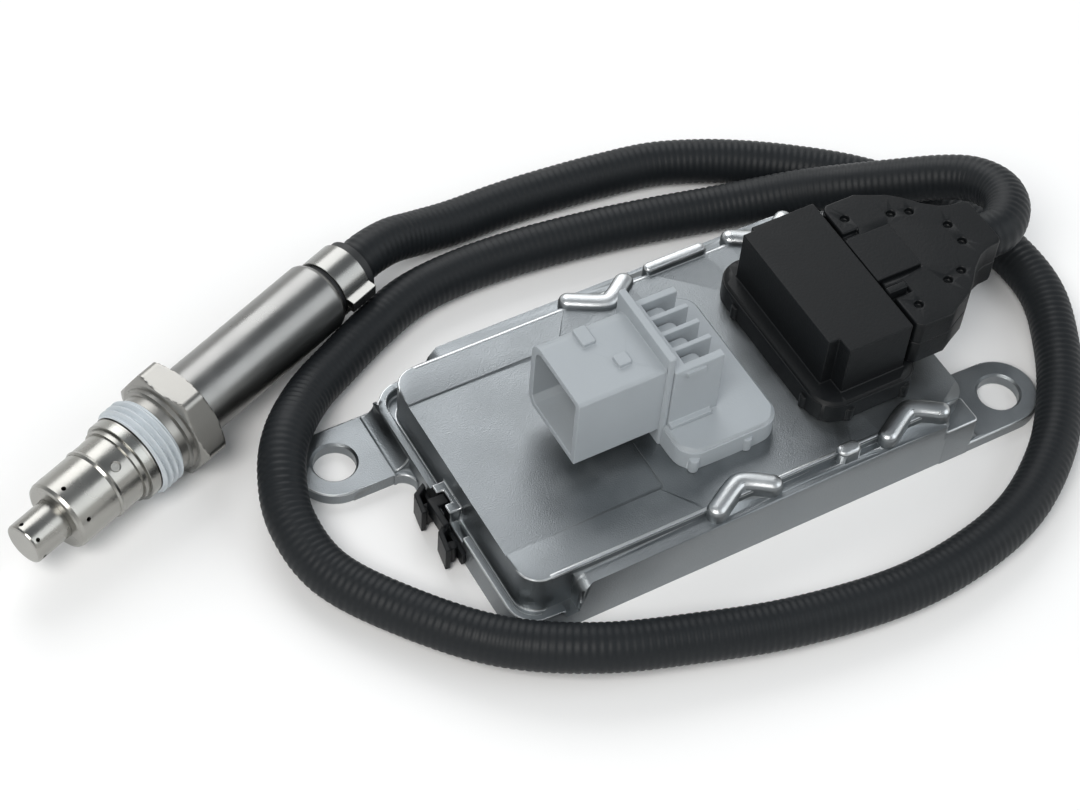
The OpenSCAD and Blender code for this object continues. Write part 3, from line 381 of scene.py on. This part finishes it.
def surface_group():
    """Shared effect: colour and roughness that vary softly, and a fine grain."""
    g = bpy.data.node_groups.new("uneven_surface", "ShaderNodeTree")
    face = g.interface
    for name, kind, value in (("Colour", "NodeSocketColor", (0.5, 0.5, 0.5, 1)),
                              ("Roughness", "NodeSocketFloat", 0.5), ("Spread", "NodeSocketFloat", 0.1),
                              ("Grain", "NodeSocketFloat", 0.1), ("Size", "NodeSocketFloat", 1500.0)):
        face.new_socket(name=name, in_out="INPUT", socket_type=kind).default_value = value
    face.new_socket(name="Colour", in_out="OUTPUT", socket_type="NodeSocketColor")
    face.new_socket(name="Roughness", in_out="OUTPUT", socket_type="NodeSocketFloat")
    face.new_socket(name="Normal", in_out="OUTPUT", socket_type="NodeSocketVector")
    n = g.nodes
    link = g.links.new
    start = n.new("NodeGroupInput")
    end = n.new("NodeGroupOutput")
    where = n.new("ShaderNodeTexCoord")
    cloud = n.new("ShaderNodeTexNoise")
    cloud.inputs["Scale"].default_value = 90
    cloud.inputs["Detail"].default_value = 5
    link(where.outputs["Object"], cloud.inputs["Vector"])
    centred = n.new("ShaderNodeMath")
    centred.operation = "SUBTRACT"
    centred.inputs[1].default_value = 0.5
    link(cloud.outputs["Fac"], centred.inputs[0])
    amount = n.new("ShaderNodeMath")
    amount.operation = "MULTIPLY"
    link(centred.outputs[0], amount.inputs[0])
    link(start.outputs["Spread"], amount.inputs[1])
    rough = n.new("ShaderNodeMath")
    rough.operation = "ADD"
    rough.use_clamp = True
    link(amount.outputs[0], rough.inputs[0])
    link(start.outputs["Roughness"], rough.inputs[1])
    link(rough.outputs[0], end.inputs["Roughness"])
    gain = n.new("ShaderNodeMath")
    gain.operation = "ADD"
    gain.inputs[1].default_value = 1
    link(amount.outputs[0], gain.inputs[0])
    shade = n.new("ShaderNodeVectorMath")
    shade.operation = "SCALE"
    link(start.outputs["Colour"], shade.inputs[0])
    link(gain.outputs[0], shade.inputs["Scale"])
    link(shade.outputs[0], end.inputs["Colour"])
    fine = n.new("ShaderNodeTexNoise")
    fine.inputs["Detail"].default_value = 3
    link(where.outputs["Object"], fine.inputs["Vector"])
    link(start.outputs["Size"], fine.inputs["Scale"])
    bump = n.new("ShaderNodeBump")
    bump.inputs["Distance"].default_value = 0.0001
    link(fine.outputs["Fac"], bump.inputs["Height"])
    link(start.outputs["Grain"], bump.inputs["Strength"])
    link(bump.outputs["Normal"], end.inputs["Normal"])
    return g


def material(name, colour, rough, metal=0.0, spread=0.15, grain=0.1, size=1500.0, specular=0.5):
    m = bpy.data.materials.new(name)
    m.use_nodes = True
    tree = m.node_tree
    shader = tree.nodes["Principled BSDF"]
    shader.inputs["Metallic"].default_value = metal
    shader.inputs["Specular IOR Level"].default_value = specular
    uneven = tree.nodes.new("ShaderNodeGroup")
    uneven.node_tree = bpy.data.node_groups["uneven_surface"]
    uneven.inputs["Colour"].default_value = (*colour, 1)
    uneven.inputs["Roughness"].default_value = rough
    uneven.inputs["Spread"].default_value = spread
    uneven.inputs["Grain"].default_value = grain
    uneven.inputs["Size"].default_value = size
    tree.links.new(uneven.outputs["Colour"], shader.inputs["Base Color"])
    tree.links.new(uneven.outputs["Roughness"], shader.inputs["Roughness"])
    tree.links.new(uneven.outputs["Normal"], shader.inputs["Normal"])
    m.diffuse_color = (*colour, 1)
    return m


def materials():
    surface_group()
    return {
        "cast_alloy": material("cast_alloy", (0.25, 0.268, 0.28), 0.4, 1, 0.55, 0.6, 3600),
        # Painted highlight: a lighter copy of the cast alloy, laid on rounded edges and ridge tops to stand in for
        # the light they catch
        "painted_edge_highlight": material("painted_edge_highlight", (0.55, 0.57, 0.58), 0.34, 1, 0.5, 0.5, 3600),
        "sheet_alloy": material("sheet_alloy", (0.55, 0.56, 0.57), 0.4, 1, 0.2, 0.1),
        "seal_rubber": material("seal_rubber", (0.42, 0.13, 0.07), 0.6),
        "screw_steel": material("screw_steel", (0.5, 0.5, 0.5), 0.35, 1),
        "board_green": material("board_green", (0.03, 0.17, 0.09), 0.4),
        "chip_black": material("chip_black", (0.03, 0.03, 0.035), 0.6),
        "capacitor_sleeve": material("capacitor_sleeve", (0.1, 0.12, 0.16), 0.25),
        "pad_grey": material("pad_grey", (0.45, 0.52, 0.58), 0.7),
        "black_plastic": material("black_plastic", (0.006, 0.007, 0.008), 0.42, 0, 0.2, 0.35, 1800, 0.22),
        "header_plastic": material("header_plastic", (0.006, 0.007, 0.008), 0.45, 0, 0.2, 0.35, 1800, 0.22),
        "grey_plastic": material("grey_plastic", (0.33, 0.36, 0.385), 0.5, 0, 0.12, 0.25, 1800),
        "contact_gold": material("contact_gold", (0.75, 0.58, 0.26), 0.3, 1),
        "wire_white": material("wire_white", (0.75, 0.75, 0.73), 0.45),
        "cable_black": material("cable_black", (0.0085, 0.0105, 0.0125), 0.5, 0, 0.25, 0.3, 1200, 0.25),
        "grommet_grey": material("grommet_grey", (0.012, 0.0135, 0.015), 0.55),
        "band_steel": material("band_steel", (0.27, 0.27, 0.26), 0.26, 1, 0.2, 0.05),
        "probe_steel": material("probe_steel", (0.23, 0.23, 0.225), 0.3, 1, 0.3, 0.12, 900),
        "shield_steel": material("shield_steel", (0.34, 0.335, 0.315), 0.26, 1, 0.3, 0.1, 900),
        "thread_paste": material("thread_paste", (0.5, 0.54, 0.57), 0.5, 0.25, 0.6, 0.8, 700),
        "nut_steel": material("nut_steel", (0.29, 0.285, 0.27), 0.34, 1, 0.3, 0.12, 900),
        "ring_steel": material("ring_steel", (0.36, 0.36, 0.34), 0.26, 1),
        "ceramic": material("ceramic", (0.8, 0.78, 0.72), 0.5),
        "talc_powder": material("talc_powder", (0.7, 0.68, 0.62), 0.9),
    }


def studio():
    scene = bpy.context.scene
    scene.view_settings.view_transform = "Standard"
    world = bpy.data.worlds.new("studio")
    world.use_nodes = True
    scene.world = world
    tree = world.node_tree
    where = tree.nodes.new("ShaderNodeTexCoord")
    height = tree.nodes.new("ShaderNodeSeparateXYZ")
    tree.links.new(where.outputs["Generated"], height.inputs[0])
    shade = tree.nodes.new("ShaderNodeValToRGB")
    shade.color_ramp.elements[0].position = 0.15
    shade.color_ramp.elements[0].color = (1, 1, 0.98, 1)
    shade.color_ramp.elements[1].position = 0.62
    shade.color_ramp.elements[1].color = (0.3, 0.32, 0.34, 1)
    tree.links.new(height.outputs["Z"], shade.inputs["Fac"])
    tree.links.new(shade.outputs["Color"], tree.nodes["Background"].inputs["Color"])
    tree.nodes["Background"].inputs["Strength"].default_value = 0.85
    for name, place, size, watts, tint in (
            ("key", (-0.55, -0.35, 0.9), 0.55, 7.0, (1, 0.98, 0.95)),
            ("fill", (0.7, -0.5, 0.7), 0.8, 3.0, (0.95, 0.98, 1)),
            ("back", (0.2, 0.8, 0.7), 0.8, 5.0, (1, 1, 1))):
        data = bpy.data.lights.new(name, "AREA")
        data.shape = "DISK"
        data.size = size
        data.energy = watts
        data.color = tint
        lamp = bpy.data.objects.new(name, data)
        bpy.context.collection.objects.link(lamp)
        lamp.matrix_world = Matrix.Translation(place) @ Vector(place).to_track_quat("Z", "Y").to_matrix().to_4x4()
    bm = bmesh.new()
    bmesh.ops.create_grid(bm, x_segments=1, y_segments=1, size=3)
    mesh = bpy.data.meshes.new("floor")
    bm.to_mesh(mesh)
    bm.free()
    floor = bpy.data.objects.new("floor", mesh)
    bpy.context.collection.objects.link(floor)
    paper = bpy.data.materials.new("paper")
    paper.use_nodes = True
    paper.node_tree.nodes["Principled BSDF"].inputs["Base Color"].default_value = (0.9, 0.9, 0.9, 1)
    paper.node_tree.nodes["Principled BSDF"].inputs["Roughness"].default_value = 0.9
    mesh.materials.append(paper)


camera()
look = materials()
cable(look["cable_black"])
hex_nut(look["nut_steel"])
beads()
corner_block()
SOFT = {
    "housing": 0.35, "sensor_header": 0.3, "vehicle_connector": 0.25, "plug_body": 0.35,
    "plug_cover": 0.4, "plug_latch": 0.2, "side_clip": 0.25, "probe_sleeve": 0.15,
    "clamp_band": 0.1, "seal_ring": 0.12,
}
FINISH = {name: slots[name] for name in nodes}
FINISH.update(probe_body="shield_steel", outer_shield="shield_steel", tip_tube="shield_steel")
for name, width in SOFT.items():
    softened(name, width, look[FINISH[name]])
for name, obj in nodes.items():
    if name not in SOFT:
        obj.data.materials.clear()
        obj.data.materials.append(look[FINISH[name]])
studio()
